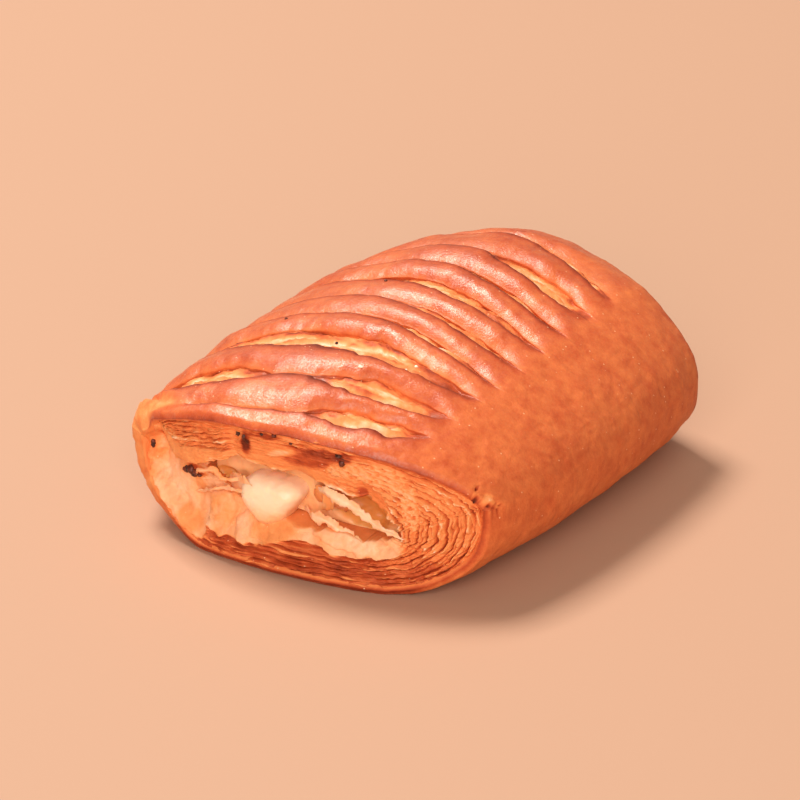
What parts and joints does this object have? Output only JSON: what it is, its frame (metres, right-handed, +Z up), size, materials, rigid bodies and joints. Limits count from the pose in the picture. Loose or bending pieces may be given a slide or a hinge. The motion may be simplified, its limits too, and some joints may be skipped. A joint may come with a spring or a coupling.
{
  "type": "savory pastry basket",
  "caption": "Folded puff pastry with a slashed arched top, layered open ends and a soft cheese filling; rests on its flat base.",
  "frame": {"origin": "middle of the flat base", "axes": "+Z up, +Y along the length from the open end that shows in the picture to the far end, +X towards the smooth folded side"},
  "size_m": [0.091, 0.1054, 0.0409],
  "materials": {
    "crust": "baked puff pastry with an egg glaze, satin",
    "cheese": "soft melted cheese, moist satin"
  },
  "bodies": {
    "root": {"pastry": "crust", "cheese_filling": "cheese"}
  },
  "joints": []
}
